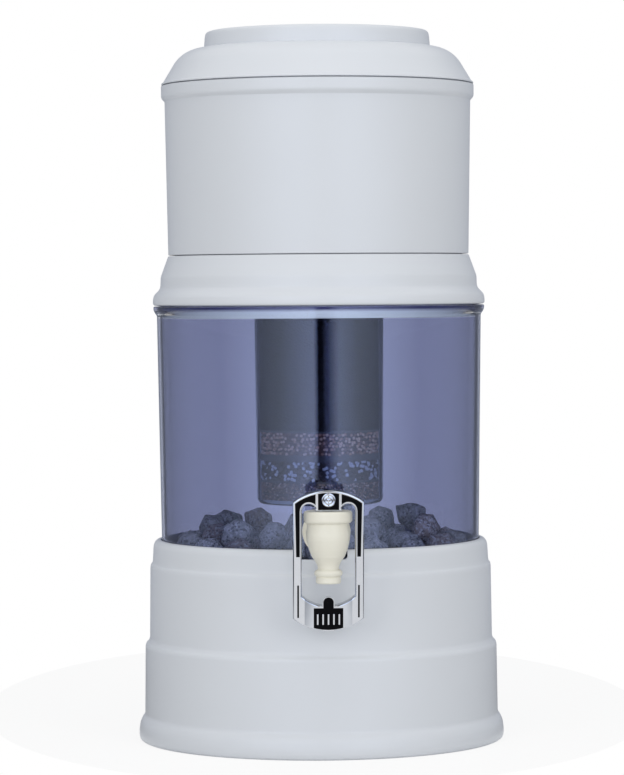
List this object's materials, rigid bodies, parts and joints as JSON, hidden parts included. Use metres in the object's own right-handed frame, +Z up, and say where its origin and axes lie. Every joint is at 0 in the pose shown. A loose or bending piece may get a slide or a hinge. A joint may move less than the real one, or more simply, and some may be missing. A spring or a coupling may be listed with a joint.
{
  "type": "gravity water filter",
  "caption": "White stepped stand and clear blue storage tank with a chrome push lever tap, under a domed upper tank that clamps a ceramic dome and a layered cartridge.",
  "frame": {"origin": "on the floor plane, on the common axis of the tanks", "axes": "+Z up along the tanks' axis, -Y towards the tap, +X to the right as seen from the tap side"},
  "size_m": [0.2432, 0.2779, 0.47],
  "materials": {
    "white_plastic": "smooth moulded gloss",
    "tank_blue": "clear, tinted blue",
    "stone": "rough grey granite",
    "cream_plastic": "satin moulded",
    "washer_rubber": "matt",
    "stem_plastic": "satin",
    "plug_rubber": "matt",
    "spring_steel": "drawn wire",
    "chrome": "bright plated",
    "black_plastic": "gloss",
    "pin_steel": "ground",
    "ceramic": "unglazed, porous",
    "cap_plastic": "satin",
    "cartridge_clear": "clear",
    "carbon": "granular",
    "felt": "needled felt",
    "brown_ceramic": "small fired balls",
    "white_ceramic": "small fired balls in dark grains",
    "sand": "fine grains"
  },
  "bodies": {
    "stand": {"stand_shell": "white_plastic"},
    "lower_tank": {"lower_tank": "tank_blue", "mineral_stones": "stone", "tap_body": "cream_plastic", "tap_bonnet": "cream_plastic", "tap_outer_washer": "washer_rubber", "tap_inner_washer": "washer_rubber", "tap_lock_nut": "cream_plastic", "valve_spring": "spring_steel"},
    "valve": {"valve_stem": "stem_plastic", "valve_plug": "plug_rubber"},
    "lever": {"lever_frame": "chrome", "lever_inlays": "black_plastic", "lever_disc": "chrome", "paddle_panel": "black_plastic", "paddle_marks": "chrome", "lever_pin": "pin_steel"},
    "collar": {"collar": "white_plastic"},
    "upper_tank": {"upper_tank": "white_plastic", "dome_shell": "ceramic", "dome_foot": "stem_plastic", "dome_gasket": "washer_rubber", "floor_washer": "washer_rubber", "dome_nut": "stem_plastic", "cartridge_cap": "cap_plastic", "cartridge_shell": "cartridge_clear", "carbon_bed": "carbon", "separator_pads": "felt", "brown_ball_bed": "brown_ceramic", "white_ball_bed": "white_ceramic", "sand_bed": "sand", "outlet_grille": "stem_plastic"},
    "lid": {"lid": "white_plastic"}
  },
  "joints": [
    {"name": "tank_lift", "type": "slide", "parent": "stand", "child": "lower_tank", "axis": [0, 0, 1], "range_m": [0, 0.08]},
    {"name": "lever_tilt", "type": "hinge", "parent": "lower_tank", "child": "lever", "pos_m": [0, -0.15053, 0.1609], "axis": [1, 0, 0], "range_deg": [0, 12], "stiffness_Nm_per_rad": 0.35, "springref_deg": -17.19},
    {"name": "valve_lift", "type": "slide", "parent": "lower_tank", "child": "valve", "axis": [0, 0, 1], "range_m": [0, 0.002], "deforming": ["valve_spring"]},
    {"name": "collar_lift", "type": "slide", "parent": "lower_tank", "child": "collar", "axis": [0, 0, 1], "range_m": [0, 0.15]},
    {"name": "upper_tank_lift", "type": "slide", "parent": "collar", "child": "upper_tank", "axis": [0, 0, 1], "range_m": [0, 0.18]},
    {"name": "lid_lift", "type": "slide", "parent": "upper_tank", "child": "lid", "axis": [0, 0, 1], "range_m": [0, 0.08]}
  ],
  "couplings": [
    {"joint": "valve_lift", "follows": "lever_tilt", "m_per_rad": 0.008992}
  ]
}
